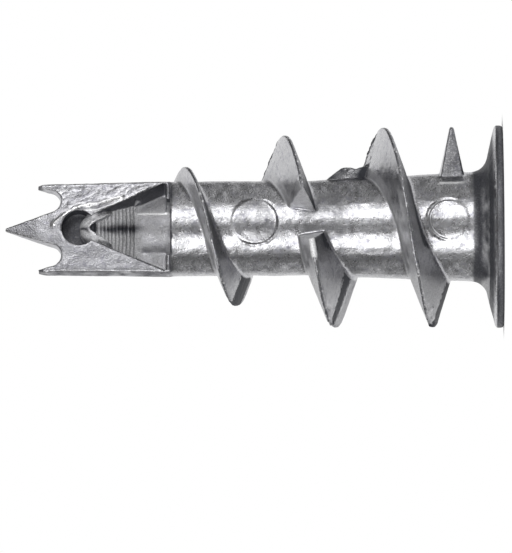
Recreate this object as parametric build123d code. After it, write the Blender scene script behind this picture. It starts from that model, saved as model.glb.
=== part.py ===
from build123d import *
import os
from math import ceil, cos, radians, sin, tan

# Metal plasterboard anchor: one zinc casting with a flange, a tapered hollow
# core, a coarse self-drilling flight and a flat drill tip.
# Millimetres. The anchor stands on its flange: +Z runs to the tip, the die
# parts in the XZ plane, and the side with the pin marks faces -Y.

# Overall form
anchor_length = 31.0
tip_length = 10.3           # from the core's shoulder to the point
flange_diameter = 12.6
rim_thickness = 0.5
rim_chamfer = 0.1
flange_rise = 0.24          # rise of the flange's upper face per mm inwards
neck_fillet = 1.05
core_root_diameter = 6.9    # core carried down to the outer face
core_diameter = 5.9         # core from the end of its taper up to the shoulder
core_taper_height = 12.0

# Screw bore and cross recess
bore_diameter = 3.94
countersink_diameter = 4.9
countersink_depth = 0.6
recess_span = 5.6
recess_width = 1.05
recess_depth = 3.2
recess_taper = 9.0          # degrees, each end wall of the recess

# Flight, measured from its highest crest at the side of the core
flight_diameter = 12.44
flight_lead = 6.22
flight_drop = 0.87          # from the shoulder down to the first crest
flight_phase = -9.0         # degrees, first crest past the parting plane
first_crest_diameter = 7.7
crest_growth = 3.8          # growth of the crest diameter per turn
crest_width = 0.22
flank_angle = 11.8          # degrees, at the front and back of the core
flank_draft = 9.5           # degrees more, at the parting plane
lead_in_angle = 80.0        # degrees over which the flight rises from the core
flight_end_height = 3.16    # crest height in the level last stretch
run_out_angle = 260.0       # degrees over which the lead dies away
run_out_extra = 32.0        # degrees of level flight after that
flight_root_depth = 0.5     # how far the flight's foot is sunk into the core
section_step = 20.0         # degrees between lofted sections

# Gap in the second turn, and the flat end of the flight
gap_root_width = 1.47       # at the wedge's foot, midway along the gap
gap_crest_width = 3.3
gap_offset = -0.06          # of the gap's middle from the front line
gap_widening = 0.34         # growth of the width per mm towards the tip
gap_foot_depth = 0.3        # how far the wedge's foot is sunk into the core
flat_end_depth = 1.75       # from the axis to the flight's flat end
flat_end_turn = 56.0        # degrees from the end of the flight to that cut

# Ejector pin marks
pin_diameter = 2.9
pin_height = 15.44
lower_pin_diameter = 2.55
lower_pin_height = 3.42
pin_step = 0.07
cut_margin = 1.0            # how far a cutter runs past the metal it cuts

# Gate remnant beside the third turn
gate_top = 10.9
gate_length = 2.8
gate_width = 1.7
gate_height = 0.6
gate_slope_length = 0.8
gate_break = 0.12
gate_dip_start = 0.22       # shares of the gate's length, from its slope's end
gate_dip_middle = 0.34
gate_dip_end = 0.5
gate_root_depth = 0.6       # how far the gate is sunk into the core

# Drill tip
blade_root_diameter = 5.95  # over the blade's rounded edges, at the shoulder
blade_tip_diameter = 5.68   # the same at the spurs
blade_thickness = 1.9
spur_thickness = 1.35
point_tip_thickness = 0.3
point_tip_width = 0.16
point_width = 2.16
notch_depth = 3.3           # from the tip down to the foot of the notches
notch_point_rise = 0.2      # of the notch's corner at the point
notch_spur_rise = 0.51      # of its corner at the spur
notch_sag = 0.16            # of its middle below the foot
notch_lean = 0.11           # of that middle towards the point
spur_length = 1.3           # from the foot of the notches to the spurs' points
spur_tip_width = 5.3
spur_flat = 0.25
spur_bevel = 0.75           # length of the slope outside each spur's point
blade_taper_drop = 0.4      # where the blade starts to thin, below the notches
back_top_drop = 3.6         # from the tip down to the end of the tapered back
back_belly = 0.62           # how far its corner stands outside a straight cone
back_overlap = 0.1          # how far the back's end is sunk into the blade

# Screw outlet: a window in the front of the blade, open to the bore
outlet_half_angle = 23.6    # degrees
outlet_apex_drop = 3.6      # from the tip down to the apex of the window's mouth
outlet_floor_depth = 1.54   # from the parting plane to the flat floor
outlet_wall_draft = 7.4     # degrees
outlet_shoulder_gap = 0.25  # wall left between the window and the shoulder
stair_top_drop = 5.1        # from the tip down to the stair's highest step
stair_length = 2.94
stair_radius = 2.2          # of the round trough that the steps form
step_count = 13

# Pocket below the point, with the rounded nose that stands in it
pocket_diameter = 2.16
pocket_drop = 4.6
pocket_back_wall = 0.5
nose_diameter = 2.06
nose_drop = 4.66            # from the tip down to the end of the nose
nose_length = 2.2
groove_half_angle = 31.8    # degrees, groove where the stair cuts the nose

shoulder_height = anchor_length - tip_length
core_radius = core_diameter / 2
bore_radius = bore_diameter / 2
stair_top = anchor_length - stair_top_drop
bore_length = stair_top - stair_length
flight_top = shoulder_height - flight_drop
run_out_start = 360 * (flight_top - flight_end_height) / flight_lead - run_out_angle / 2
flight_span = run_out_start + run_out_angle + run_out_extra
notch_foot = anchor_length - notch_depth
spur_height = notch_foot + spur_length


def core_radius_at(height):
    """Outer radius of the tapered core at a height."""
    share = max(0.0, 1.0 - height / core_taper_height)
    return core_radius + share * (core_root_diameter / 2 - core_radius)


def flange_and_core():
    """Flange, trumpet neck and core, turned about the axis."""
    rim = flange_diameter / 2
    foot = core_root_diameter / 2
    outline = Polyline(
        (0, 0),
        (rim, 0),
        (rim, rim_thickness),
        (foot, rim_thickness + flange_rise * (rim - foot)),
        (core_radius, core_taper_height),
        (core_radius, shoulder_height),
        (0, shoulder_height),
        close=True,
    )
    face = make_face(outline)
    neck_corner = face.vertices().filter_by(lambda v: abs(v.X - foot) < 1e-6)
    face = fillet(neck_corner, neck_fillet)
    rim_corners = face.vertices().filter_by(lambda v: abs(v.X - rim) < 1e-6)
    face = chamfer(rim_corners, rim_chamfer)
    return revolve(Plane.XZ * face, Axis.Z)


def crest_height(turned):
    """Height of the crest after so many degrees from the first crest."""
    late = min(max(turned - run_out_start, 0.0), run_out_angle)
    eased = late * late / (2 * run_out_angle)
    past = max(turned - run_out_start - run_out_angle, 0.0)
    return flight_top - flight_lead * (turned - eased - past) / 360


def local_lead_share(turned):
    """Share of the full lead that is left in the run-out."""
    late = min(max(turned - run_out_start, 0.0), run_out_angle)
    return 1.0 - late / run_out_angle


def crest_radius(turned):
    """Radius of the crest: lead-in, growing cone, then full size."""
    first = first_crest_diameter / 2
    if turned < 0:
        sunk = core_radius - flight_root_depth / 2
        share = 1 + turned / lead_in_angle
        return sunk + (first - sunk) * share
    grown = first + crest_growth / 2 * turned / 360
    return min(grown, flight_diameter / 2)


def flight_section(turned):
    """Trapezoid of the flight in the half plane through the axis."""
    angle = flight_phase - turned
    height = crest_height(turned)
    top = crest_radius(turned)
    foot = core_radius_at(height) - flight_root_depth
    draft = flank_draft * cos(radians(angle)) ** 2 * local_lead_share(turned)
    spread = tan(radians(flank_angle + draft))
    half_crest = crest_width / 2
    half_foot = half_crest + max(top - foot, 0.0) * spread
    plane = Plane(
        origin=(0, 0, height),
        x_dir=(cos(radians(angle)), sin(radians(angle)), 0),
        z_dir=(sin(radians(angle)), -cos(radians(angle)), 0),
    )
    corners = Polyline(
        (foot, -half_foot),
        (top, -half_crest),
        (top, half_crest),
        (foot, half_foot),
        close=True,
    )
    return plane * make_face(corners)


def flight():
    """The helical flight, lofted half a turn at a time."""
    total = flight_span + lead_in_angle
    halves = ceil(total / 180)
    sections = ceil(total / halves / section_step)
    step = total / halves / sections
    pieces = []
    for i in range(halves):
        start = i * sections
        turned = [(start + j) * step - lead_in_angle for j in range(sections + 1)]
        pieces.append(loft([flight_section(t) for t in turned]))
    return pieces


def gap_cutter():
    """Wedge that breaks the second turn, wider at its end towards the tip."""
    middle = crest_height(360 + 90 + flight_phase)
    near = core_radius_at(middle) - gap_foot_depth
    far = flight_diameter / 2 + cut_margin
    flare = (gap_crest_width - gap_root_width) / (flight_diameter / 2 - near)
    ends = []
    for along in (-flight_lead / 2, flight_lead / 2):
        inner = (gap_root_width + along * gap_widening) / 2
        outer = inner + (far - near) * flare / 2
        wedge = Polyline(
            (gap_offset - inner, -near),
            (gap_offset - outer, -far),
            (gap_offset + outer, -far),
            (gap_offset + inner, -near),
            close=True,
        )
        ends.append(Pos(0, 0, middle + along) * make_face(wedge))
    return loft(ends)


def flat_end_cutter():
    """Block that cuts the flight's last stretch to a flat front end."""
    reach = flight_diameter
    height = crest_height(flight_span)
    block = Box(
        reach, reach, flight_lead * 0.5,
        align=(Align.MIN, Align.MAX, Align.CENTER),
    )
    turned = flight_phase - flight_span + flat_end_turn
    return Pos(0, 0, height) * Rot(0, 0, turned) * Pos(0, -flat_end_depth, 0) * block


def pin_marks():
    """Two thin round steps left by the ejector pins on the front."""
    marks = []
    for height, diameter in (
        (pin_height, pin_diameter),
        (lower_pin_height, lower_pin_diameter),
    ):
        radius = core_radius_at(height)
        low = height - diameter
        high = height + diameter
        outline = make_face(Polyline(
            (0, low),
            (core_radius_at(low) + pin_step, low),
            (core_radius_at(high) + pin_step, high),
            (0, high),
            close=True,
        ))
        pad = revolve(Plane.XZ * outline, Axis.Z)
        pin = Rot(90, 0, 0) * Cylinder(
            diameter / 2, radius + cut_margin,
            align=(Align.CENTER, Align.CENTER, Align.MIN),
        )
        marks.append(pad & (Pos(0, 0, height) * pin))
    return marks


def gate_remnant():
    """Broken-off gate on the parting line, beside the third turn."""
    bottom = gate_top - gate_length
    surface = core_radius_at(gate_top)
    inner = surface - gate_root_depth
    outer = core_radius_at(bottom) + gate_height
    slope_end = gate_top - gate_slope_length
    outline = Polyline(
        (inner, gate_top),
        (surface, gate_top),
        (outer - gate_break, slope_end),
        (outer, slope_end - gate_length * gate_dip_start),
        (outer - gate_break, slope_end - gate_length * gate_dip_middle),
        (outer, slope_end - gate_length * gate_dip_end),
        (outer, bottom),
        (inner, bottom),
        close=True,
    )
    return extrude(Plane.XZ * make_face(outline), gate_width / 2, both=True)


def blade_outline():
    """Half of the blade's face: centre point, round notch and spur."""
    spur = spur_tip_width / 2
    point = (point_width / 2, notch_foot + notch_point_rise)
    notch_side = (spur - spur_flat, notch_foot + notch_spur_rise)
    notch_middle = (
        (point[0] + notch_side[0]) / 2 - notch_lean,
        notch_foot - notch_sag,
    )
    shoulder_of_spur = (blade_tip_diameter / 2, spur_height - spur_bevel)
    wide = blade_root_diameter / 2 + cut_margin
    edges = [
        Line((0, anchor_length), (point_tip_width / 2, anchor_length)),
        Line((point_tip_width / 2, anchor_length), point),
        ThreePointArc(point, notch_middle, notch_side),
        Line(notch_side, (spur, spur_height)),
        Line((spur, spur_height), shoulder_of_spur),
        Line(shoulder_of_spur, (wide, spur_height - spur_bevel)),
        Line((wide, spur_height - spur_bevel), (wide, shoulder_height)),
        Line((wide, shoulder_height), (0, shoulder_height)),
        Line((0, shoulder_height), (0, anchor_length)),
    ]
    return make_face(Curve() + edges)


def blade():
    """Drill blade: face outline, thickness and round outer edges."""
    half = blade_outline()
    face = half + mirror(half, Plane.YZ)
    slab = extrude(Plane.XZ * face, blade_root_diameter, both=True)
    thick = blade_thickness / 2
    taper_start = notch_foot - blade_taper_drop
    side = Polyline(
        (-thick, shoulder_height),
        (thick, shoulder_height),
        (thick, taper_start),
        (spur_thickness / 2, spur_height),
        (point_tip_thickness / 2, anchor_length),
        (-point_tip_thickness / 2, anchor_length),
        (-spur_thickness / 2, spur_height),
        (-thick, taper_start),
        close=True,
    )
    plate = extrude(Plane.YZ * make_face(side), blade_root_diameter, both=True)
    taper = (blade_root_diameter - blade_tip_diameter) / 2
    taper = taper * (anchor_length - shoulder_height) / (spur_height - shoulder_height)
    edge = Pos(0, 0, shoulder_height) * Cone(
        blade_root_diameter / 2,
        blade_root_diameter / 2 - taper,
        anchor_length - shoulder_height,
        align=(Align.CENTER, Align.CENTER, Align.MIN),
    )
    return slab & plate & edge


def tapered_back():
    """The core's back, run up behind the blade as a half cone of two slopes."""
    end = (blade_thickness / 2 - back_overlap, anchor_length - back_top_drop)
    start = (core_radius, shoulder_height)
    middle = (
        (start[0] + end[0]) / 2 + back_belly,
        (start[1] + end[1]) / 2,
    )
    outline = Polyline(
        start, middle, end, (0, end[1]), (0, shoulder_height), close=True,
    )
    cone = revolve(Plane.XZ * make_face(outline), Axis.Z)
    behind = Pos(0, 0, shoulder_height) * Box(
        core_diameter * 2, core_diameter, anchor_length,
        align=(Align.CENTER, Align.MIN, Align.MIN),
    )
    return cone & behind


def outlet_window():
    """Drafted wedge of the screw outlet, from its flat floor forwards."""
    bottom = shoulder_height + outlet_shoulder_gap
    slope = tan(radians(outlet_half_angle))
    draft = tan(radians(outlet_wall_draft))
    depth = outlet_floor_depth + blade_thickness / 2
    inset = depth * draft / sin(radians(outlet_half_angle))
    apex = anchor_length - outlet_apex_drop - inset
    half = (apex - bottom) * slope
    floor = Plane(
        origin=(0, outlet_floor_depth, 0), x_dir=(1, 0, 0), z_dir=(0, -1, 0),
    )
    triangle = make_face(Polyline(
        (0, apex), (half, bottom), (-half, bottom), close=True,
    ))
    forwards = extrude(
        floor * triangle, outlet_floor_depth + core_radius, taper=-outlet_wall_draft,
    )
    backwards = extrude(floor * triangle, -core_radius)
    above = Pos(0, 0, bottom) * Box(
        core_diameter * 3, core_diameter * 3, anchor_length,
        align=(Align.CENTER, Align.CENTER, Align.MIN),
    )
    return (forwards + backwards) & above


def stair_space():
    """Space over the stair: a round trough that climbs in small steps."""
    front = -blade_thickness / 2
    rise = (bore_radius - front) / step_count
    tread = stair_length / step_count
    opening = Pos(0, -core_diameter / 2) * Rectangle(2 * stair_radius, core_diameter)
    profile = Circle(stair_radius) + opening
    steps = []
    for i in range(step_count):
        depth = front + (i + 0.5) * rise
        foot = stair_top - (i + 1) * tread
        steps.append(Pos(0, depth - stair_radius, foot) * extrude(profile, tread))
    return steps[0] + steps[1:]


def floor_space():
    """Space over the flat floor on both sides of the bore."""
    return Pos(0, outlet_floor_depth, 0) * Box(
        core_diameter, core_diameter * 2, bore_length,
        align=(Align.CENTER, Align.MAX, Align.MIN),
    )


def pocket_cutter():
    """Blind round pocket in the front face, just below the point."""
    back = blade_thickness / 2 - pocket_back_wall
    depth = blade_thickness + core_radius
    hole = Cylinder(
        pocket_diameter / 2, depth,
        align=(Align.CENTER, Align.CENTER, Align.MIN),
    )
    height = anchor_length - pocket_drop
    return Pos(0, back, height) * Rot(90, 0, 0) * hole


def nose():
    """Rounded nose between the pocket and the stair that cuts into it."""
    radius = nose_diameter / 2
    end = anchor_length - nose_drop
    foot = end - nose_length
    outline = [
        Line((0, foot), (radius, foot)),
        Line((radius, foot), (radius, end - radius)),
        ThreePointArc(
            (radius, end - radius),
            (radius * sin(radians(45)), end - radius + radius * cos(radians(45))),
            (0, end),
        ),
        Line((0, end), (0, foot)),
    ]
    body = revolve(Plane.XZ * make_face(Curve() + outline), Axis.Z)
    low = foot - cut_margin
    half = (stair_top - low) * tan(radians(groove_half_angle))
    triangle = make_face(Polyline(
        (0, stair_top), (half, low), (-half, low), close=True,
    ))
    groove = extrude(Plane.XZ * triangle, core_diameter, both=True)
    return body - (groove & stair_space())


def bore():
    """Straight screw bore from the flange to the foot of the stair."""
    return Cylinder(
        bore_radius, bore_length, align=(Align.CENTER, Align.CENTER, Align.MIN),
    )


def drill_tip():
    """Blade and tapered back with the pocket, screw outlet and nose."""
    tip = blade() + tapered_back() - pocket_cutter()
    outlet = outlet_window() & (stair_space() + floor_space() + bore())
    return tip - outlet + nose()


def screw_bore():
    """Bore, countersink and cross recess."""
    bottom = (Align.CENTER, Align.CENTER, Align.MIN)
    countersink = Cone(
        countersink_diameter / 2, bore_radius, countersink_depth, align=bottom,
    )
    arm = extrude(
        Rectangle(recess_span, recess_width), recess_depth, taper=recess_taper,
    )
    return bore() + countersink + arm + Rot(0, 0, 90) * arm


def anchor_body():
    """The whole casting as one solid."""
    cutters = [gap_cutter(), flat_end_cutter()]
    body = flange_and_core() + [piece - cutters for piece in flight()]
    body = body + drill_tip()
    body = body + gate_remnant()
    for mark in pin_marks():
        body = body + mark
    return body - screw_bore()


os.makedirs("parts", exist_ok=True)
export_step(anchor_body(), "parts/anchor_body.step")
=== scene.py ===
import math

import bpy
import numpy as np
from bpy.props import FloatProperty, FloatVectorProperty, IntProperty, PointerProperty
from mathutils import Matrix, Vector


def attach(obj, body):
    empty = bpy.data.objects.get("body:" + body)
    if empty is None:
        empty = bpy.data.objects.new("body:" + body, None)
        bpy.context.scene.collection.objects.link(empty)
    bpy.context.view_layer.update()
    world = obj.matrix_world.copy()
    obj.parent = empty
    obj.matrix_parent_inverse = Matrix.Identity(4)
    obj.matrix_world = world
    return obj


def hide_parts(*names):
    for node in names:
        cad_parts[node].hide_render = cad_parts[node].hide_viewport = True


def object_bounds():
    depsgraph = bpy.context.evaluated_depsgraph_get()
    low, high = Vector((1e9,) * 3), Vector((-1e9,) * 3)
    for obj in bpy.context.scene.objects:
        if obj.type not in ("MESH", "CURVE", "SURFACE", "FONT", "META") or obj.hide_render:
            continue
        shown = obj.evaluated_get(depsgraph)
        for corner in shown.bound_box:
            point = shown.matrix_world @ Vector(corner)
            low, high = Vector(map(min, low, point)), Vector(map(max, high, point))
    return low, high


bl_info = {
    "name": "Plasterboard anchor looks",
    "version": (1, 0, 0),
    "blender": (4, 5, 0),
    "location": "View3D > Sidebar > Anchor",
    "description": "Cast zinc skin, finish and studio for a metal plasterboard anchor",
    "category": "Object",
}

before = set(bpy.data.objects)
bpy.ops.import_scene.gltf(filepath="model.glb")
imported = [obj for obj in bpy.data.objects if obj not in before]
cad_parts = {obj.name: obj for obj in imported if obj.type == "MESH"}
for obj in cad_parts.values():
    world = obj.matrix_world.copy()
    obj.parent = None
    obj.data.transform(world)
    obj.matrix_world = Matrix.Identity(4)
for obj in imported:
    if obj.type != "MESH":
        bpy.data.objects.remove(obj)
CAD_LOW, CAD_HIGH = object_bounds()
CAD_BODY = "anchor_body"
MM = 1000

# Millimetres, in the frame of the solid: +Z runs to the point, the front faces -Y
LENGTH = (CAD_HIGH.z - CAD_LOW.z) * MM
SHOULDER = LENGTH - 10.3
BORE_RADIUS = 1.97
NECK_TOP = 1.95
RIM_RADIUS = 5.9
# A cone just outside the core: its radius at the foot, and its loss for each millimetre up
CORE_RADIUS = 3.55
CORE_TAPER = 0.035
# The front of the blade, the outlet's stair and the pocket with the nose in it
BLADE_FRONT = -0.95
STAIR_TOP = LENGTH - 5.1
STAIR_FOOT = STAIR_TOP - 2.94
STAIR_RADIUS = 2.2
STEPS = 13
FLOOR_HALF_WIDTH = 1.23
POCKET_HEIGHT = LENGTH - 4.6
POCKET_RADIUS = 1.08
NOSE_RADIUS = 1.03
NOSE_CENTRE = LENGTH - 4.66 - NOSE_RADIUS
# The outlet's two edges: the height where they would meet, and their spread for a millimetre down
OUTLET_PEAK = LENGTH - 3.6
OUTLET_SPREAD = 0.437
# Lines on the front of the tip, each from corner to corner as height and place across
BURR = (
    (28.1, 0.17), (27.58, 0.58), (27.15, 0.92), (26.71, 1.17), (26.21, 1.36),
    (25.09, 1.5), (24.35, 1.72), (23.72, 1.94),
)
SECOND_BURR = ((26.0, 1.1), (25.1, 1.12), (24.4, 1.36), (23.2, 1.9), (22.2, 2.4))
CRACK = ((26.4, 1.16), (25.9, 1.21), (25.2, 1.28), (24.4, 1.53), (23.8, 1.81))
LOWER_EDGE = ((25.6, -0.76), (22.0, -2.39))
# Ejector pin marks: height, diameter, and 1 or -1 where the foot's or the tip's side is deeper
PINS = ((15.44, 2.9, 1), (3.42, 2.55, -1))
# The flight's crest starts below the shoulder, at an angle in degrees, and grows with each turn
FLIGHT_LEAD = 6.22
FLIGHT_START = SHOULDER - 0.87
FLIGHT_START_ANGLE = -9.0
FLIGHT_START_RADIUS = 3.85
FLIGHT_GROWTH = 1.9
FLIGHT_RADIUS = 6.22
# Knobs on the crest, the gap in the second turn, the flat cut at the end and the gate's remnant
KNOB_HEIGHTS = (4.55, 10.75)
GAP_HEIGHT = 12.2
CUT_HEIGHT = 3.17
CUT_SIDE = 2.44
GATE_FOOT = 8.0
GATE_TOP = 11.0
GATE_HALF_WIDTH = 1.0
# Parting lines of the flight's turns, drawn as painted shade with painted reflection past them:
# side of the core, height, start behind the axis, width
PARTINGS = (
    (-1, 16.3, -0.6, 2.4), (-1, 9.7, -1.4, 1.2), (-1, 3.85, -0.35, 9.0),
    (1, 20.2, 0.5, 9.0), (1, 14.0, 0.3, 9.0), (1, 7.8, 0.3, 9.0),
)
# The image in pixels, and the middle of the anchor's foot in it, from the upper left corner
IMAGE_WIDTH = 512
IMAGE_HEIGHT = 553
FOOT_ACROSS = 503
FOOT_DOWN = 226.73


class CastingSettings(bpy.types.PropertyGroup):
    """Sizes and colours of the casting's skin."""

    cell: FloatProperty(
        name="Cell size",
        description="Edge of the cells that the casting's skin is rebuilt from",
        default=0.000066, min=0.00004, unit="LENGTH", precision=6,
    )
    triangles: IntProperty(
        name="Triangles",
        description="Most triangles that the finished skin may have",
        default=192000, min=20000, max=199000,
    )
    wave_height: FloatProperty(
        name="Wave height",
        description="Height of the slow unevenness of the cast faces",
        default=0.000022, min=0.0, unit="LENGTH", precision=6,
    )
    grain_height: FloatProperty(
        name="Grain height",
        description="Height of the fine grain of the cast faces",
        default=0.000011, min=0.0, unit="LENGTH", precision=6,
    )
    zinc: FloatVectorProperty(
        name="Zinc",
        description="Colour of the clean cast zinc",
        subtype="COLOR", default=(0.5, 0.5, 0.515), min=0.0, max=1.0,
    )
    # This colour gives random bright specks and paints highlights on burrs and on edges that
    # stand out.
    bright_zinc_and_highlight: FloatVectorProperty(
        name="Bright zinc",
        description="Colour of burrs and rubbed edges",
        subtype="COLOR", default=(0.94, 0.94, 0.94), min=0.0, max=1.0,
    )
    # This colour paints light on flanks, edges and the outlet, where the zinc is also made less
    # metallic and rougher.
    painted_light_zinc: FloatVectorProperty(
        name="Matt zinc",
        description="Colour of the light matt parts of the casting",
        subtype="COLOR", default=(0.78, 0.78, 0.79), min=0.0, max=1.0,
    )
    dull_zinc: FloatVectorProperty(
        name="Dull zinc",
        description="Colour of the dull patches of the casting",
        subtype="COLOR", default=(0.29, 0.287, 0.335), min=0.0, max=1.0,
    )
    # This colour paints shade in the pocket, the recesses, creases and corners, and colours a few
    # other dark marks.
    dark_marks_and_shade: FloatVectorProperty(
        name="Soot",
        description="Colour of the dark film in the pocket and the corners",
        subtype="COLOR", default=(0.03, 0.032, 0.04), min=0.0, max=1.0,
    )
    roughness: FloatProperty(
        name="Roughness",
        description="Mean roughness of the cast zinc",
        default=0.29, min=0.0, max=1.0, subtype="FACTOR",
    )


class StageSettings(bpy.types.PropertyGroup):
    """Camera, floor and light of the studio."""

    pixels_per_mm: FloatProperty(
        name="Image scale",
        description="Pixels of the image for one millimetre of the anchor",
        default=16.06, min=1.0,
    )
    turn: FloatProperty(
        name="Turn",
        description="Turn of the anchor about its own axis against the camera",
        default=math.radians(9.0), subtype="ANGLE",
    )
    roll: FloatProperty(
        name="Roll",
        description="Tilt of the anchor's axis in the image",
        default=math.radians(0.43), subtype="ANGLE",
    )
    lens: FloatProperty(
        name="Lens",
        description="Focal length of the camera in millimetres",
        default=1000.0, min=50.0,
    )
    floor_colour: FloatVectorProperty(
        name="Floor",
        description="Colour of the floor",
        subtype="COLOR", default=(0.93, 0.93, 0.93), min=0.0, max=1.0,
    )
    room_light: FloatProperty(
        name="Room light",
        description="Strength of the soft light from all round",
        default=0.62, min=0.0,
    )
    card_light: FloatProperty(
        name="Grey card",
        description="Brightness of the dark cards that the metal mirrors",
        default=0.1, min=0.0,
    )
    front_light: FloatProperty(
        name="Front card",
        description="Brightness of the card in front of the anchor",
        default=0.24, min=0.0,
    )
    lamp_light: FloatProperty(
        name="Lamps",
        description="Brightness of the two long lamps",
        default=4.0, min=0.0,
    )


class Socket:
    """A shader socket that adds its Math nodes as an expression is written."""

    def __init__(self, shader, output):
        self.shader = shader
        self.output = output

    def _math(self, operation, *values):
        return self.shader.node(
            "ShaderNodeMath", {"operation": operation}, dict(enumerate(values)),
        )

    def __add__(self, other):
        return self._math("ADD", self, other)

    def __radd__(self, other):
        return self._math("ADD", other, self)

    def __sub__(self, other):
        return self._math("SUBTRACT", self, other)

    def __rsub__(self, other):
        return self._math("SUBTRACT", other, self)

    def __mul__(self, other):
        return self._math("MULTIPLY", self, other)

    def __rmul__(self, other):
        return self._math("MULTIPLY", other, self)

    def __pow__(self, other):
        return self._math("POWER", self, other)

    def __abs__(self):
        return self._math("ABSOLUTE", self)

    def at_most(self, other):
        """The smaller of the two."""
        return self._math("MINIMUM", self, other)

    def at_least(self, other):
        """The larger of the two."""
        return self._math("MAXIMUM", self, other)

    def rise(self, low, high):
        """0 below low, 1 above high and a smooth rise between them."""
        return self.shader.node(
            "ShaderNodeMapRange",
            {"interpolation_type": "SMOOTHSTEP"},
            {"Value": self, "From Min": low, "From Max": high},
        )


class Shader:
    """Node tree of one material or world, filled from expressions."""

    def __init__(self, owner):
        owner.use_nodes = True
        self.tree = owner.node_tree
        self.tree.nodes.clear()

    def node(self, kind, settings, sockets, output=0):
        """A node of a type: its settings first, then its socket values and links.

        It gives the socket of an output, or of each output where a tuple names them.
        """
        made = self.tree.nodes.new(kind)
        for name, value in settings.items():
            setattr(made, name, value)
        for name, value in sockets.items():
            socket = made.inputs[name]
            if isinstance(value, Socket):
                self.tree.links.new(value.output, socket)
            elif socket.type == "RGBA":
                socket.default_value = (*value, 1.0)
            else:
                socket.default_value = value
        if isinstance(output, tuple):
            return [Socket(self, made.outputs[name]) for name in output]
        return Socket(self, made.outputs[output]) if made.outputs else None

    def noise(self, vector, scale, detail, rough):
        """Noise in space, from 0 to 1."""
        return self.node(
            "ShaderNodeTexNoise",
            {"noise_dimensions": "3D"},
            {"Vector": vector, "Scale": scale, "Detail": detail, "Roughness": rough},
        )

    def mix(self, share, first, second):
        """Colour between two colours, which a Mix node takes at its sockets 6 and 7."""
        return self.node(
            "ShaderNodeMix", {"data_type": "RGBA"}, {0: share, 6: first, 7: second}, output=2,
        )

    def stretched(self, vector, scales):
        """A vector with each axis times its own number."""
        return self.node(
            "ShaderNodeVectorMath", {"operation": "MULTIPLY"}, {0: vector, 1: scales},
        )

    def along_axes(self, vector):
        """The three numbers of a vector."""
        return self.node("ShaderNodeSeparateXYZ", {}, {"Vector": vector}, output=("X", "Y", "Z"))

    def metal(self, colour, metallic, roughness, normal):
        """Surface of bare metal."""
        sockets = {
            "Base Color": colour, "Metallic": metallic, "Roughness": roughness, "Normal": normal,
        }
        return self.node("ShaderNodeBsdfPrincipled", {}, sockets)

    def matt(self, colour, roughness, more):
        """Matt surface, such as the floor's paint or the painted shade and dark marks on the
        zinc.
        """
        sockets = {"Base Color": colour, "Roughness": roughness, **more}
        return self.node("ShaderNodeBsdfPrincipled", {}, sockets)

    def blend(self, share, first, second):
        """Surface between two surfaces."""
        return self.node("ShaderNodeMixShader", {}, {0: share, 1: first, 2: second})

    def glow(self, strength):
        """Surface that shines white."""
        return self.node("ShaderNodeEmission", {}, {"Color": (1, 1, 1), "Strength": strength})

    def finish(self, surface, kind="ShaderNodeOutputMaterial"):
        """The output, with what reaches it."""
        self.node(kind, {}, {"Surface": surface})


class Lattice:
    """Seeded smooth noise in space, worked out for many points at once."""

    SIZE = 1024
    OFFSET = 131.7

    def __init__(self, seed):
        maker = np.random.default_rng(seed)
        self.order = maker.permutation(self.SIZE)
        self.values = maker.uniform(-1.0, 1.0, self.SIZE)

    def at(self, points, cell):
        """Noise of one size of cell, from about -1 to 1."""
        scaled = points / cell + self.OFFSET
        corner = np.floor(scaled).astype(np.int64)
        part = scaled - corner
        part = part * part * (3 - 2 * part)
        last = self.SIZE - 1
        total = np.zeros(len(points))
        for i in (0, 1):
            for j in (0, 1):
                for k in (0, 1):
                    mixed = self.order[(corner[:, 0] + i) & last]
                    mixed = self.order[(mixed + corner[:, 1] + j) & last]
                    mixed = self.order[(mixed + corner[:, 2] + k) & last]
                    weight = np.abs(1 - i - part[:, 0])
                    weight = weight * np.abs(1 - j - part[:, 1])
                    weight = weight * np.abs(1 - k - part[:, 2])
                    total += weight * self.values[mixed]
        return total

    def layered(self, points, cell, layers):
        """Noise with finer and weaker layers on top."""
        total = 0.0
        for i in range(layers):
            total = total + self.at(points + 7.3 * i, cell / 2 ** i) / 2 ** i
        return total


def smooth_step(value, low, high):
    """0 below low, 1 above high and a smooth rise between them."""
    share = np.clip((value - low) / (high - low), 0.0, 1.0)
    return share * share * (3 - 2 * share)


def hump(distance, width):
    """1 at no distance, and a round fall over a width."""
    return np.exp(-(distance / width) ** 2)


def near_line(first, second, corners):
    """Distance of points in a plane from an open line through corners."""
    points = np.stack([first, second], 1)
    nearest = np.full(len(points), np.inf)
    for start, end in zip(np.array(corners[:-1]), np.array(corners[1:])):
        run = end - start
        share = np.clip((points - start) @ run / (run @ run), 0.0, 1.0)
        off = points - start - share[:, None] * run
        nearest = np.minimum(nearest, np.hypot(off[:, 0], off[:, 1]))
    return nearest


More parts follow.
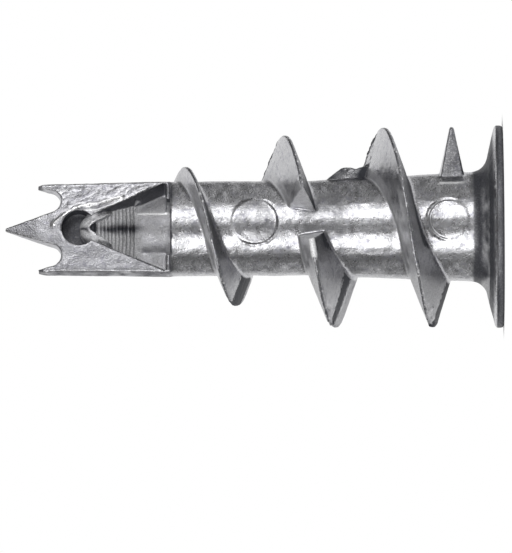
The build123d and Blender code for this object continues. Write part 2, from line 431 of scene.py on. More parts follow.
class Skin:
    """Vertices of the casting's skin in millimetres, with what moves them."""

    def __init__(self, mesh):
        self.mesh = mesh
        count = len(mesh.vertices)
        flat = np.empty(count * 3, np.float32)
        mesh.vertices.foreach_get("co", flat)
        self.points = flat.reshape(-1, 3).astype(float)
        ends = np.empty(len(mesh.edges) * 2, np.int32)
        mesh.edges.foreach_get("vertices", ends)
        self.ends = ends.reshape(-1, 2)
        self.valence = np.bincount(ends, minlength=count).astype(float)
        self.find_normals()

    def write(self):
        """Gives the points to the mesh."""
        self.mesh.vertices.foreach_set("co", self.points.astype(np.float32).ravel())
        self.mesh.update()

    def find_normals(self):
        """Reads the normals that the points give."""
        self.write()
        flat = np.empty(len(self.mesh.vertices) * 3, np.float32)
        self.mesh.vertex_normals.foreach_get("vector", flat)
        self.normals = flat.reshape(-1, 3).astype(float)

    def averaged(self, points):
        """Mean of each vertex's neighbours."""
        first, second = self.ends.T
        means = np.empty_like(points)
        for axis in range(3):
            summed = np.bincount(first, points[second, axis], len(points))
            summed += np.bincount(second, points[first, axis], len(points))
            means[:, axis] = summed / np.maximum(self.valence, 1)
        return means

    def smooth(self, rounds):
        """Moves each vertex half way to its neighbours' mean, some rounds long."""
        for _ in range(rounds):
            self.points += (self.averaged(self.points) - self.points) / 2

    def bend(self, reach):
        """Positive on edges that stand out and negative in corners, in millimetres."""
        spread = self.points
        for _ in range(reach):
            spread = self.averaged(spread)
        return ((self.points - spread) * self.normals).sum(1)

    def push(self, heights):
        """Moves each vertex along its normal."""
        self.points += self.normals * heights[:, None]


def modified(mesh, kind, **settings):
    """Mesh that a modifier makes of another mesh."""
    work = bpy.data.objects.new("work", mesh)
    bpy.context.scene.collection.objects.link(work)
    modifier = work.modifiers.new("work", kind)
    for name, value in settings.items():
        setattr(modifier, name, value)
    graph = bpy.context.evaluated_depsgraph_get()
    made = bpy.data.meshes.new_from_object(work.evaluated_get(graph))
    bpy.data.objects.remove(work)
    return made


def rebuilt(obj, cell):
    """Mesh of an object rebuilt from even cells, in millimetres."""
    mesh = obj.data.copy()
    mesh.transform(Matrix.Scale(MM, 4))
    return modified(mesh, "REMESH", mode="VOXEL", voxel_size=cell * MM, adaptivity=0.0)


def reduced(mesh, triangles):
    """The mesh brought under a number of triangles, flat parts first."""
    mesh.calc_loop_triangles()
    ratio = min(1.0, triangles / len(mesh.loop_triangles))
    return modified(mesh, "DECIMATE", ratio=ratio, use_collapse_triangulate=True)


def untapered(radius, z):
    """Distance from the axis, with the taper of the cone outside the core taken out."""
    return radius + CORE_TAPER * z


def on_core(z):
    """True for heights between the flange and the shoulder."""
    return (z < SHOULDER - 0.1) & (z > 0.9)


def cast_relief(skin, settings):
    """Uneven faces, grain and flow marks of the casting."""
    x, y, z = skin.points.T
    radius = np.hypot(x, y)
    wave = settings.wave_height * MM
    grain = settings.grain_height * MM
    heights = wave * Lattice(11).layered(skin.points, 1.7, 2)
    heights += grain * Lattice(23).layered(skin.points, 0.34, 2)
    turned = np.stack([np.arctan2(y, x) * 5.5, radius * 0.5, z * 0.35], 1)
    flank = smooth_step(radius, 3.1, 3.5) * (z < SHOULDER)
    heights += 0.5 * flank * grain * Lattice(37).layered(turned, 0.5, 3)
    return heights


def pin_rings(skin):
    """Sharp round witness lines round the two ejector pin marks."""
    x, y, z = skin.points.T
    front = (y < 0) * (np.hypot(x, y) < CORE_RADIUS + 0.15)
    waver = 0.02 * Lattice(61).at(skin.points, 0.6)
    heights = np.zeros(len(x))
    for height, diameter, deep_side in PINS:
        away = np.hypot(x, z - height) - diameter / 2 + waver
        side = deep_side * (0.95 * (height - z) - 0.3 * x) / (diameter / 2)
        share = 0.1 + 0.9 * smooth_step(side, -0.4, 0.3)
        lip_and_groove = 0.02 * hump(away + 0.12, 0.06) - 0.08 * hump(away - 0.02, 0.07)
        heights += front * share * lip_and_groove
    return heights


def broken_edges(skin):
    """Jagged top of the gate, torn ends beside the flight's gap and ragged crests."""
    x, y, z = skin.points.T
    jags = Lattice(53).layered(skin.points, 0.42, 2)
    gate = (x > 3.4) * (z > GATE_FOOT) * (z < GATE_TOP)
    gate = gate * smooth_step(-np.abs(y), -GATE_HALF_WIDTH, 0.25 - GATE_HALF_WIDTH)
    knobs = 0.0
    for height in KNOB_HEIGHTS:
        knobs = knobs + (x < -5.3) * smooth_step(-np.abs(z - height), -0.3, -0.2)
    back_edges = (x > 3.6) * (z > 6.0) * (z < SHOULDER) * smooth_step(y, 0.0, 0.6)
    back_edges *= smooth_step(skin.normals[:, 2], 0.3, 0.6)
    return (gate * 0.06 + gap_ends(skin) * 0.03 + knobs * 0.08 + back_edges * 0.07) * jags


def crest_radius(skin):
    """Radius of the flight's crest next to each vertex."""
    x, y, z = skin.points.T
    by_height = (FLIGHT_START - z) * 360 / FLIGHT_LEAD
    by_angle = (FLIGHT_START_ANGLE - np.degrees(np.arctan2(y, x))) % 360
    turned = by_angle + 360 * np.round((by_height - by_angle) / 360)
    return np.minimum(FLIGHT_START_RADIUS + FLIGHT_GROWTH * turned / 360, FLIGHT_RADIUS)


def gap_ends(skin):
    """1 on the torn ends of the flight beside its gap."""
    x, y, z = skin.points.T
    across = smooth_step(np.abs(skin.normals[:, 0]), 0.6, 0.8)
    near = (np.abs(z - GAP_HEIGHT) < 1.7) * (np.abs(x) < 2.2) * (y < -2.3)
    return across * near * smooth_step(np.hypot(x, y), 2.95, 3.1)


def trough_at(x, share):
    """Depth of the round trough that the stair's steps form, after a share of them."""
    depth = BLADE_FRONT + share * (BORE_RADIUS - BLADE_FRONT)
    return depth - STAIR_RADIUS + np.sqrt(np.maximum(STAIR_RADIUS ** 2 - x * x, 0.0))


def stair_share(z):
    """Share of the stair above a height."""
    return (STAIR_TOP - z) / (STAIR_TOP - STAIR_FOOT)


def stair_zone(skin):
    """1 on the vertices of the outlet's stair."""
    x, y, z = skin.points.T
    trough = trough_at(x, np.clip(stair_share(z), 0.0, 1.0))
    zone = (z < STAIR_TOP - 0.7) & (z > STAIR_FOOT - 0.1) & (np.abs(x) < 2.0)
    zone = zone & (y > BLADE_FRONT + 0.25) & (skin.normals[:, 1] < -0.25)
    zone = zone & (np.abs(y - trough) < 0.3)
    return zone.astype(float)


def cut_stair(skin, zone):
    """Sharp small steps across the outlet's ramp."""
    x, y, z = skin.points.T
    waver = 0.03 * Lattice(83).at(skin.points, 0.7)
    step = stair_share(z + waver) * STEPS
    whole = np.floor(step)
    risen = whole + smooth_step(step - whole, 0.5, 1.0)
    skin.points[:, 1] += zone * (trough_at(x, risen / STEPS) - y)


def tip_ridges(skin):
    """Torn ridges that run along the burr on the tip's upper half, from 0 to 1."""
    x, y, z = skin.points.T
    turned = np.stack([0.9 * z - 0.42 * x, 3.4 * (0.42 * z + 0.9 * x), 0 * y], 1)
    field = Lattice(67).layered(turned, 0.8, 2)
    return smooth_step(-np.abs(field), -0.3, -0.05) * smooth_step(x, 0.5, 1.3)


def tip_marks(skin):
    """Burr lines, ridges and pits on the front of the drill tip."""
    x, y, z = skin.points.T
    front = smooth_step(-skin.normals[:, 1], 0.6, 0.9) * (y < BLADE_FRONT + 0.12)
    front = front * (z > SHOULDER)
    waver = 0.05 * Lattice(5).at(skin.points, 0.5)
    heights = 0.014 * tip_ridges(skin)
    for line, width, height in (
        (BURR, 0.14, 0.08), (CRACK, 0.05, -0.07), (SECOND_BURR, 0.08, 0.05),
    ):
        heights += height * hump(near_line(z + waver, x + waver, line), width)
    pits = Lattice(71).layered(skin.points * (1, 1, 0.6), 0.26, 2)
    pit_depth = 0.006 + 0.018 * smooth_step(x, 0.9, 1.5)
    heights -= pit_depth * smooth_step(pits, 0.1, 0.8)
    return front * heights


class ShadeAndMarks:
    """Painted shade with a few other dark marks, painted light on matt zinc and painted
    highlights on burrs and edges, each from 0 to 1 for each vertex.
    """

    def __init__(self, skin):
        x, y, z = skin.points.T
        self.skin = skin
        self.waver = Lattice(41).layered(skin.points, 0.5, 2)
        self.beads = smooth_step(Lattice(97).at(skin.points, 0.12), 0.45, 0.7)
        self.facing = -skin.normals[:, 1]
        self.upwards = skin.normals[:, 2]
        self.radius = np.hypot(x, y)
        self.on_tip = smooth_step(z, SHOULDER - 0.05, SHOULDER + 0.1)
        self.on_flight = on_core(z) * smooth_step(self.radius, 3.15, 3.35)
        self.on_flight *= untapered(self.radius, z) > CORE_RADIUS + 0.07
        self.below_crest = crest_radius(skin) - self.radius
        outwards = skin.normals[:, 0] * x + skin.normals[:, 1] * y
        outwards /= np.maximum(self.radius, 0.1)
        self.on_crest = self.on_flight * smooth_step(outwards, 0.6, 0.85)
        self.on_crest *= self.below_crest < 0.12
        # Of the three layers, the dark one holds painted shade and a few other dark marks, the
        # light one painted light, and the last one painted highlights.
        self.layers = {name: np.zeros(len(x)) for name in ("dark", "light", "painted_highlight")}
        self.outlet()
        self.tip()
        self.core()
        self.flight_flanks()
        self.flight_edges()
        self.flange()
        clean = 1 - np.maximum(self.layers["light"], self.layers["painted_highlight"])
        self.layers["dark"] = self.layers["dark"] * clean

    def add(self, layer, *masks):
        """Lays masks, each with its share, into a layer."""
        for mask, share in masks:
            self.layers[layer] = np.maximum(self.layers[layer], mask * share)

    def outlet(self):
        """The pocket with its rounded nose, and the outlet's walls, ramp and floor, drawn with
        painted shade, painted reflection, painted light and a painted highlight.
        """
        x, y, z = self.skin.points.T
        facing = self.facing
        inside = self.on_tip * smooth_step(y, BLADE_FRONT + 0.02, BLADE_FRONT + 0.12)
        from_nose = np.sqrt(x * x + y * y + np.maximum(z - NOSE_CENTRE, 0.0) ** 2)
        nose = inside * smooth_step(-np.abs(from_nose - NOSE_RADIUS), -0.12, -0.06)
        nose *= (z > STAIR_TOP - 1.6) * smooth_step(facing, -0.1, 0.15)
        from_pocket = np.hypot(x, z - POCKET_HEIGHT)
        pocket = inside * smooth_step(-from_pocket, -POCKET_RADIUS - 0.08, -POCKET_RADIUS)
        pocket *= (y < 0.9) * (z > NOSE_CENTRE - 0.6) * (1 - nose)

        share = stair_share(z)
        off_trough = np.abs(y - trough_at(x, np.clip(share, 0.0, 1.0)))
        ramp = inside * smooth_step(-off_trough, -0.4, -0.25) * (share > 0.12) * (share < 1.15)
        ramp *= smooth_step(facing, 0.1, 0.3) * (1 - pocket)
        floor = inside * smooth_step(-z, -STAIR_FOOT - 0.1, -STAIR_FOOT + 0.1)
        floor *= (y > 0.3) * smooth_step(facing, 0.3, 0.5)
        floor_edges = floor * hump(np.abs(x) - FLOOR_HALF_WIDTH, 0.06)
        wall = inside * (y < 1.5) * (self.radius > NOSE_RADIUS)
        wall *= smooth_step(-facing, -0.6, -0.35) * (z < STAIR_TOP + 0.6)
        wall *= (np.abs(x) < 2.75) * (from_pocket > POCKET_RADIUS)
        wall *= np.abs(x) < OUTLET_SPREAD * (OUTLET_PEAK - z) + 0.2

        middle = x - 0.04 - 0.158 * y + 0.05 * self.waver
        centre = hump(middle, 0.16 + 0.2 * np.clip(share, 0.0, 0.8))
        centre *= smooth_step(share, 0.05, 0.45) * smooth_step(-share, -1.35, -1.0)
        split = nose * hump(middle, 0.06 + 0.3 * np.maximum(LENGTH - 4.75 - z, 0.0))
        streaks = smooth_step(Lattice(29).at(self.skin.points * (0.5, 0.5, 5.0), 0.5), -0.2, 0.6)
        uneven = 0.5 + 0.3 * self.waver + 0.3 * streaks

        # Painted shade in the pocket, on the wall and on one floor edge; a painted dark
        # reflection down the middle of the nose, ramp and floor; painted light on the nose and
        # the sides of the ramp and floor; a painted highlight on the floor's other edge.
        self.add(
            "dark", (pocket, 0.86), (wall, 0.85), (split, 0.7), (ramp * centre, 0.8),
            (floor * centre, 0.5), (floor_edges * (x < 0), 0.7),
        )
        self.add(
            "light", (nose * (1 - split), 0.8), (ramp * (1 - centre), 0.9),
            (floor * (1 - centre) * uneven, 0.7),
        )
        self.add("painted_highlight", (floor_edges * (x > 0), 0.9))

    def tip(self):
        """The drill tip's front with its burrs, its sides, the spurs and the shoulder, with
        painted shade and painted highlights.
        """
        x, y, z = self.skin.points.T
        facing, waver, on_tip = self.facing, self.waver, self.on_tip
        shoulder = smooth_step(-np.abs(z - SHOULDER + 0.01 + 0.06 * waver), -0.13, -0.06)
        shoulder *= (y < BLADE_FRONT + 0.2) | (self.radius > BORE_RADIUS + 0.1)
        spur = on_tip * (np.abs(x) > 1.6)
        spur *= smooth_step(z - 0.2 * waver, LENGTH - 2.45, LENGTH - 2.1)
        side = on_tip * (np.abs(x) > 2.7) * smooth_step(-facing, -0.5, -0.2)

        flat = on_tip * smooth_step(facing, 0.5, 0.8) * (y < BLADE_FRONT + 0.15)
        crack = flat * hump(near_line(z, x, CRACK), 0.06)
        lower_edge = on_tip * (y < 0) * hump(near_line(z, x, LOWER_EDGE), 0.09)
        ridges = tip_ridges(self.skin)
        valleys = flat * smooth_step(x, 0.6, 1.4) * smooth_step(-ridges, -0.3, -0.05)
        burr_highlights = hump(near_line(z + 0.04 * waver, x + 0.05 * waver, BURR), 0.12)
        burr_highlights = np.maximum(burr_highlights, 0.8 * hump(near_line(z, x, SECOND_BURR), 0.09))
        burr_highlights = flat * np.maximum(burr_highlights, 0.2 * ridges)

        # Painted shade at the shoulder's step, on the sides turned from the front, along the
        # outlet's lower edge and in the valleys between the ridges; the spurs, the crack and the
        # front towards negative x are darker; painted highlights on the burrs and ridges.
        self.add(
            "dark", (shoulder * (0.7 + 0.6 * waver), 0.9), (spur, 0.85), (crack, 0.75),
            (side * (0.5 + waver), 0.55), (lower_edge, 0.8),
            (valleys * (0.5 + 0.5 * waver), 0.32), (flat * smooth_step(-x, 0.2, 0.8), 0.24),
        )
        self.add("painted_highlight", (burr_highlights * (0.75 + 0.5 * waver), 1.0))

    def core(self):
        """The bore with painted shade inside it, the darker gate, the dull upper pin mark and a
        darker patch in the flight's gap.
        """
        x, y, z = self.skin.points.T
        in_bore = smooth_step(-self.radius, -BORE_RADIUS - 0.15, -BORE_RADIUS) * (z < SHOULDER)
        gate = (x > 2.95) * (x < 3.95) * (np.abs(y) < GATE_HALF_WIDTH)
        gate = gate * (z > GATE_FOOT + 0.05) * (z < GATE_TOP)
        pin_height, pin_diameter, _ = PINS[0]
        pin_face = smooth_step(-np.hypot(x, z - pin_height), 0.05 - pin_diameter / 2, -1.0)
        pin_face *= on_core(z) * (y < -2)
        gap_patch = smooth_step(-np.abs(z - GAP_HEIGHT + 1), -1.6, -1.0)
        gap_patch *= smooth_step(-np.abs(x - 0.3), -1.8, -1.0)
        gap_patch *= (y < -2) * smooth_step(-self.radius, -3.5, -3.35)
        # Painted shade inside the bore; the gate and the patch in the flight's gap are darker,
        # and the upper pin mark is dull.
        self.add(
            "dark", (in_bore, 0.6), (gate * (0.9 + 0.3 * self.waver), 1.0),
            (pin_face * (0.6 + 0.6 * self.waver), 0.4), (gap_patch * (0.6 + 0.5 * self.waver), 0.7),
        )

    def flight_flanks(self):
        """The flight's flanks and the corners at its root, in painted shade and painted light."""
        x, y, z = self.skin.points.T
        upwards = self.upwards
        from_axis = untapered(self.radius, z)
        foot_flank = self.on_flight * smooth_step(-upwards, 0.5, 0.75)
        tip_flank = self.on_flight * smooth_step(upwards, 0.5, 0.75)
        depth_share = smooth_step(self.below_crest, 0.2, 2.6)
        foot_side = foot_flank * smooth_step(-y, -0.7, 0.9)
        foot_side *= 0.25 + 0.75 * smooth_step(x, -1.5, 1.5)
        foot_side *= 0.55 + 0.45 * np.where(z > 14.5, 1 - depth_share, depth_share)
        root = on_core(z) * smooth_step(-upwards, 0.35, 0.55) * (from_axis > CORE_RADIUS)
        root *= smooth_step(-from_axis, -CORE_RADIUS - 1.25, -CORE_RADIUS - 0.65)
        root *= (x > -1.8) * (y < -0.8) * (z < GAP_HEIGHT - 0.2)
        tip_side = tip_flank * smooth_step(-y, 1.9, 3.2)
        tip_side *= 1 - 0.8 * smooth_step(x, 0.3, 2.4)
        tip_side *= (1 - self.on_crest) * (0.6 + 0.6 * self.waver)
        low_flank = foot_flank * smooth_step(-x, 3.2, 4.2) * np.where(z < 6, 1.0, 0.4)
        low_edge = tip_flank * smooth_step(-x, 3.3, 3.8)
        corner = on_core(z) * smooth_step(upwards, 0.12, 0.35)
        corner = corner * (from_axis < CORE_RADIUS + 0.55) * (y < 0) * (z > 4.0)
        # Painted shade on the flanks that face the foot and in the root's corner; painted light
        # and painted reflection on the flanks that face the tip, the low flanks, their edges and
        # the corners.
        self.add("dark", (foot_side, 0.95), (root, 0.95))
        self.add("light", (tip_side, 0.7), (low_flank, 0.75), (low_edge, 1.0), (corner, 0.3))

    def flight_edges(self):
        """The flight's crest, the ends beside its gap and the flat cut: painted shade on the
        crest and the trailing edges, painted light on the gap's ends, and painted highlights in
        beads on the crest, at one glint and along the cut's edge; the cut's face and the lower
        tips are darker.
        """
        x, y, z = self.skin.points.T
        trailing = self.on_flight * smooth_step(-self.below_crest, -0.2, -0.1)
        trailing *= (x < -2.9) * (self.upwards < 0.3)
        tips = self.on_flight * smooth_step(-x, 5.3, 5.6) * (y < 0.3)
        glint = self.on_flight * (self.below_crest < 0.3)
        glint *= (np.abs(z - GAP_HEIGHT + 0.3) < 0.6) * (np.abs(x + 2.0) < 0.7)
        cut_face = (self.radius > 3.35) * (np.abs(z - CUT_HEIGHT) < 0.7) * (x > CUT_SIDE)
        cut_face = cut_face * smooth_step(-y, 1.5, 1.6)
        cut_edge = (z > 2.3) * (z < 3.95) * hump(x - CUT_SIDE + 0.02, 0.06) * (y < -1.4)
        self.add(
            "dark", (self.on_crest * (1 - self.beads), 0.55), (trailing, 0.55), (cut_face, 0.64),
            (tips * (0.6 + self.waver), 0.6),
        )
        self.add(
            "light", (gap_ends(self.skin) * (0.6 + 0.5 * self.waver), 0.8), (glint, 1.0),
            (cut_edge, 1.0), (self.on_crest * self.beads, 0.6),
        )
        self.add("painted_highlight", (glint, 1.0), (cut_edge, 0.8), (self.on_crest * self.beads, 0.7))

    def flange(self):
        """The flange's rim in painted shade with a beaded line of painted highlights, and the
        neck in painted shade.
        """
        z = self.skin.points[:, 2]
        rim = (self.radius > RIM_RADIUS + 0.1) * smooth_step(-z, -0.48, -0.4)
        rim_line = (self.radius > RIM_RADIUS + 0.05) * smooth_step(-np.abs(z - 0.6), -0.1, -0.05)
        neck = smooth_step(-z, -NECK_TOP, 0.15 - NECK_TOP) * smooth_step(z, 0.55, 0.7)
        self.add("dark", (rim, 0.85), (neck, 0.82))
        self.add("light", (rim_line * self.beads, 0.8))
        self.add("painted_highlight", (rim_line * self.beads, 0.8))


def casting_skin(source, settings):
    """The solid's skin with its relief, and with its painted shade, light and highlights, its
    other dark marks and its edges as attributes.
    """
    mesh = rebuilt(source, settings.cell)
    skin = Skin(mesh)
    skin.smooth(3)
    skin.find_normals()
    stair = stair_zone(skin)
    heights = cast_relief(skin, settings) * (1 - 0.7 * stair)
    heights += tip_marks(skin) + pin_rings(skin) + broken_edges(skin)
    skin.push(heights)
    cut_stair(skin, stair)
    skin.points = np.clip(skin.points, np.array(CAD_LOW) * MM, np.array(CAD_HIGH) * MM)
    skin.write()
    mesh = reduced(mesh, settings.triangles)
    skin = Skin(mesh)
    for name, values in {"edge": skin.bend(4), **ShadeAndMarks(skin).layers}.items():
        store = mesh.attributes.new(name, "FLOAT", "POINT")
        store.data.foreach_set("value", values.astype(np.float32))
    mesh.transform(Matrix.Scale(1 / MM, 4))
    mesh.polygons.foreach_set("use_smooth", [True] * len(mesh.polygons))
    return mesh


class ANCHOR_OT_casting(bpy.types.Operator):
    """Build the anchor's cast skin and its zinc finish"""

    bl_idname = "anchor.casting"
    bl_label = "Casting"

    def execute(self, context):
        settings = context.scene.anchor_casting
        mesh = casting_skin(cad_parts[CAD_BODY], settings)
        mesh.materials.clear()
        mesh.materials.append(cast_zinc(settings))
        piece = bpy.data.objects.new("anchor_casting", mesh)
        context.scene.collection.objects.link(piece)
        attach(piece, "root")
        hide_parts(CAD_BODY)
        return {"FINISHED"}


def parting_shading(axes, grain, clouds, dark, light):
    """Painted shade along the flight's parting lines and painted reflection in the pale strips
    past them, laid into the dark and light.
    """
    x, y, z = axes
    radius = (x * x + y * y) ** 0.5
    on_flight = untapered(radius, z).rise(CORE_RADIUS, CORE_RADIUS + 0.15)
    for side, height, start, width in PARTINGS:
        past = y - start + (grain - 0.5) * 1.2
        near = on_flight * (x * side).rise(2.85, 2.95) * (1.05 - abs(z - height)).rise(0.0, 0.1)
        near = near * (4.6 + (clouds - 0.5) * 3.0 - y).rise(0.0, 1.6)
        line = near * past.rise(-0.1, 0.15) * (width - past).rise(-0.2, 0.2)
        strip = near * (past - width).rise(0.0, 0.4)
        dark = dark.at_least(line * 0.97)
        light = light.at_least(strip * 0.9) * (1 - line)
    return dark, light


def cast_zinc(settings):
    """Mottled cast zinc, with painted highlights on burrs and standing edges and painted shade in
    pockets and creases.
    """
    material = bpy.data.materials.new("cast_zinc")
    shader = Shader(material)
    place = shader.node("ShaderNodeTexCoord", {}, {}, output="Object")
    position = shader.stretched(place, (MM, MM, MM))
    axes = shader.along_axes(position)
    x, y, z = axes
    edge, dark, light, painted_highlight = (
        shader.node("ShaderNodeAttribute", {"attribute_name": name}, {}, output="Fac")
        for name in ("edge", "dark", "light", "painted_highlight")
    )
    grain = shader.noise(position, 5.5, 3.0, 0.55)
    speckle = shader.noise(position, 11.0, 2.0, 0.6)
    clouds = shader.noise(position, 1.6, 3.0, 0.6)
    streaks = shader.noise(shader.stretched(position, (5.0, 5.0, 0.9)), 1.0, 2.0, 0.5)

    on_tip = z.rise(SHOULDER - 0.1, SHOULDER + 0.1)
    radius = (x * x + y * y) ** 0.5
    on_rim = (0.75 - z).rise(0.0, 0.1) * (radius - RIM_RADIUS).rise(0.0, 0.2)
    # Painted highlights on the edges that stand out, most on the tip and the rim, and on the
    # burrs.
    edge_highlight = edge.rise(0.01, 0.04) * (on_tip.at_least(on_rim) * 0.7 + 0.1)
    edge_highlight = edge_highlight * (1 - dark) * (speckle.rise(0.42, 0.56) * 0.7 + 0.3)
    edge_highlight = edge_highlight.at_least(painted_highlight)
    dull = (grain * 0.45 + clouds * 0.35 + streaks * 0.2).rise(0.47, 0.69)
    colour = shader.mix(dull, settings.zinc, settings.dull_zinc)
    colour = shader.mix(speckle.rise(0.55, 0.72) * 0.35, colour, settings.bright_zinc_and_highlight)
    colour = shader.mix(on_tip * 0.25, colour, settings.dull_zinc)
    # Painted light: the light share turns the zinc to the pale matt colour.
    colour = shader.mix(light * (grain + 0.25), colour, settings.painted_light_zinc)
    colour = shader.mix(edge_highlight, colour, settings.bright_zinc_and_highlight)

    dark, light = parting_shading(axes, grain, clouds, dark, light)
    dark = dark * (1 - speckle.rise(0.48, 0.6) * (1 - dark) * 0.9)
    specks = light * (1 - speckle).rise(0.46, 0.6) * 0.3
    # Painted shade in the creases.
    crease_shade = (0 - edge).rise(0.015, 0.07) * 0.14 * (1 - light)
    darkening = dark.at_least(crease_shade).at_least(specks).at_most(1.0)
    rough = settings.roughness + (grain - 0.5) * 0.25 + dull * 0.05 - edge_highlight * 0.06
    rough = rough + light * 0.35 + darkening * 0.15 + on_tip * 0.06
    height = grain * 0.45 + speckle * (0.35 + on_tip * 0.5) + clouds * 0.3
    bump = shader.node(
        "ShaderNodeBump", {}, {"Strength": 0.34, "Distance": 0.00006, "Height": height},
    )
    zinc = shader.metal(colour, 1 - light * 0.7, rough.at_least(0.12).at_most(0.8), bump)
    # The dark surface that paints shade in the pocket, recesses, creases and corners, and gives
    # the other dark marks.
    dark_marks_and_shade = shader.matt(settings.dark_marks_and_shade, 0.6, {"Specular IOR Level": 0.25, "Normal": bump})
    shader.finish(shader.blend(darkening, zinc, dark_marks_and_shade))
    return material


def seen(shader):
    """1 for what the camera sees straight, in metal or through glass."""
    camera, glossy, through = shader.node(
        "ShaderNodeLightPath", {}, {},
        output=("Is Camera Ray", "Is Glossy Ray", "Is Transmission Ray"),
    )
    return camera.at_least(glossy).at_least(through)


def camera_axes(settings):
    """Right, up and backward axes of the camera in the frame."""
    across = Vector((math.cos(settings.turn), -math.sin(settings.turn), 0))
    back = Vector((-math.sin(settings.turn), -math.cos(settings.turn), 0))
    along = Vector((0, 0, 1))
    cos, sin = math.cos(settings.roll), math.sin(settings.roll)
    return -cos * along - sin * across, cos * across - sin * along, back


def round_the_axis(up, back, degrees):
    """Direction from the anchor's axis, turned from the camera's side towards the top."""
    angle = math.radians(degrees)
    return back * math.cos(angle) + up * math.sin(angle)


def rectangle(centre, side, upward):
    """Corners of a rectangle from its centre and its two half sides."""
    return [
        centre - side - upward, centre + side - upward,
        centre + side + upward, centre - side + upward,
    ]


def flat_piece(context, name, corners, faces):
    """Object of flat faces from its corners."""
    mesh = bpy.data.meshes.new(name)
    mesh.from_pydata([tuple(corner) for corner in corners], [], faces)
    piece = bpy.data.objects.new(name, mesh)
    context.scene.collection.objects.link(piece)
    return piece


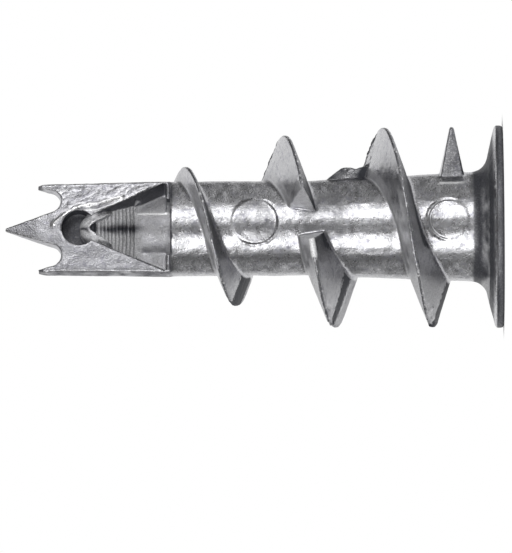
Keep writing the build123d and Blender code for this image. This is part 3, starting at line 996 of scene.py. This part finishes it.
class ANCHOR_OT_stage(bpy.types.Operator):
    """Build the floor, the light and the camera"""

    bl_idname = "anchor.stage"
    bl_label = "Stage"

    def execute(self, context):
        settings = context.scene.anchor_stage
        self.floor(context, settings)
        self.world(context, settings)
        self.lamps(context, settings)
        self.cards(context, settings)
        self.camera(context, settings)
        context.scene.view_settings.view_transform = "Standard"
        return {"FINISHED"}

    def floor(self, context, settings):
        """Pale floor under the flange, that turns into the white of the background."""
        half = 0.7
        corners = rectangle(Vector((0, 0, 0)), Vector((half, 0, 0)), Vector((0, half, 0)))
        floor = flat_piece(context, "floor", corners, [(0, 1, 2, 3)])
        material = bpy.data.materials.new("pale_floor")
        shader = Shader(material)
        place = shader.node("ShaderNodeTexCoord", {}, {}, output="Object")
        x, y, _ = shader.along_axes(place)
        flange_edge, white_from = 0.0063, 0.0072
        far = ((x * x + y * y) ** 0.5).rise(flange_edge, white_from)
        near = shader.matt(settings.floor_colour, 0.7, {})
        shader.finish(shader.blend(far * seen(shader), near, shader.glow(1.0)))
        floor.data.materials.append(material)

    def world(self, context, settings):
        """White to look at, and weaker as a light."""
        world = bpy.data.worlds.new("room")
        shader = Shader(world)
        strength = seen(shader) * (1 - settings.room_light) + settings.room_light
        background = shader.node(
            "ShaderNodeBackground", {}, {"Color": (1, 1, 1), "Strength": strength},
        )
        shader.finish(background, "ShaderNodeOutputWorld")
        context.scene.world = world

    def lamps(self, context, settings):
        """Two long lamps beside the camera, for the bands of light on the core."""
        _, up, back = camera_axes(settings)
        centre = Vector((0, 0, 0.017))
        length, distance = 0.3, 0.3
        for name, angle, half in (("upper_lamp", 34.5, 10.5), ("lower_lamp", -33, 12.5)):
            lamp = bpy.data.lights.new(name, "AREA")
            lamp.shape = "RECTANGLE"
            lamp.size = length
            lamp.size_y = 2 * distance * math.tan(math.radians(half))
            lamp.energy = settings.lamp_light * math.pi * lamp.size * lamp.size_y
            holder = bpy.data.objects.new(name, lamp)
            context.scene.collection.objects.link(holder)
            away = round_the_axis(up, back, angle)
            across = round_the_axis(up, back, angle + 90)
            turn = Matrix((across.cross(away), across, away)).transposed()
            holder.matrix_world = Matrix.Translation(centre + away * distance) @ turn.to_4x4()
            holder.visible_camera = False

    def cards(self, context, settings):
        """Cards for the metal to mirror: three curved round the anchor's axis and two level."""
        _, up, back = camera_axes(settings)
        reach, facet = 0.34, 6
        for name, first, last, top, light in (
            ("front_card", -18, 20, 0.14, settings.front_light),
            ("upper_card", 58, 150, 0.4, settings.card_light),
            ("lower_card", -135, -60, 0.4, settings.card_light),
        ):
            steps = (last - first) // facet
            corners = []
            for i in range(steps + 1):
                foot = round_the_axis(up, back, first + (last - first) * i / steps) * reach
                corners += [foot, foot + Vector((0, 0, top))]
            faces = [(2 * i, 2 * i + 2, 2 * i + 3, 2 * i + 1) for i in range(steps)]
            self.card(context, name, corners, faces, light)
        for name, height, first, last in (
            ("overhead_card", 0.17, 0.0, 0.3), ("foot_card", 0.0004, 0.0085, 0.3),
        ):
            centre = back * (first + last) / 2 + Vector((0, 0, height))
            corners = rectangle(centre, up * 0.4, back * (last - first) / 2)
            self.card(context, name, corners, [(0, 1, 2, 3)], settings.card_light)

    def card(self, context, name, corners, faces, light):
        """A card that only the metal mirrors."""
        card = flat_piece(context, name, corners, faces)
        material = bpy.data.materials.new(name)
        shader = Shader(material)
        shader.finish(shader.glow(light))
        card.data.materials.append(material)
        card.visible_camera = False
        card.visible_diffuse = False
        card.visible_shadow = False

    def camera(self, context, settings):
        """Camera that shows the anchor at its scale, with its foot at its place in the image."""
        right, up, back = camera_axes(settings)
        data = bpy.data.cameras.new("camera")
        data.lens = settings.lens
        data.clip_start = 0.05
        data.clip_end = 20
        camera = bpy.data.objects.new("camera", data)
        context.scene.collection.objects.link(camera)
        pixel = 1 / (settings.pixels_per_mm * MM)
        middle = right * (IMAGE_WIDTH / 2 - FOOT_ACROSS) * pixel
        middle += up * (FOOT_DOWN - IMAGE_HEIGHT / 2) * pixel
        distance = settings.lens / data.sensor_width * IMAGE_HEIGHT * pixel
        turn = Matrix((right, up, back)).transposed()
        camera.matrix_world = Matrix.Translation(middle + back * distance) @ turn.to_4x4()
        context.scene.camera = camera


class ANCHOR_PT_panel(bpy.types.Panel):
    """Lists the anchor's piece and its stage"""

    bl_idname = "ANCHOR_PT_panel"
    bl_label = "Anchor"
    bl_space_type = "VIEW_3D"
    bl_region_type = "UI"
    bl_category = "Anchor"

    def draw(self, context):
        layout = self.layout
        layout.operator(ANCHOR_OT_casting.bl_idname)
        for name in CastingSettings.__annotations__:
            layout.prop(context.scene.anchor_casting, name)
        layout.operator(ANCHOR_OT_stage.bl_idname)
        for name in StageSettings.__annotations__:
            layout.prop(context.scene.anchor_stage, name)


CLASSES = (
    CastingSettings, StageSettings, ANCHOR_OT_casting, ANCHOR_OT_stage, ANCHOR_PT_panel,
)


def register():
    for cls in CLASSES:
        bpy.utils.register_class(cls)
    bpy.types.Scene.anchor_casting = PointerProperty(type=CastingSettings)
    bpy.types.Scene.anchor_stage = PointerProperty(type=StageSettings)


def unregister():
    del bpy.types.Scene.anchor_stage
    del bpy.types.Scene.anchor_casting
    for cls in reversed(CLASSES):
        bpy.utils.unregister_class(cls)


def main():
    register()
    bpy.ops.anchor.casting()
    bpy.ops.anchor.stage()


if __name__ == "__main__":
    main()
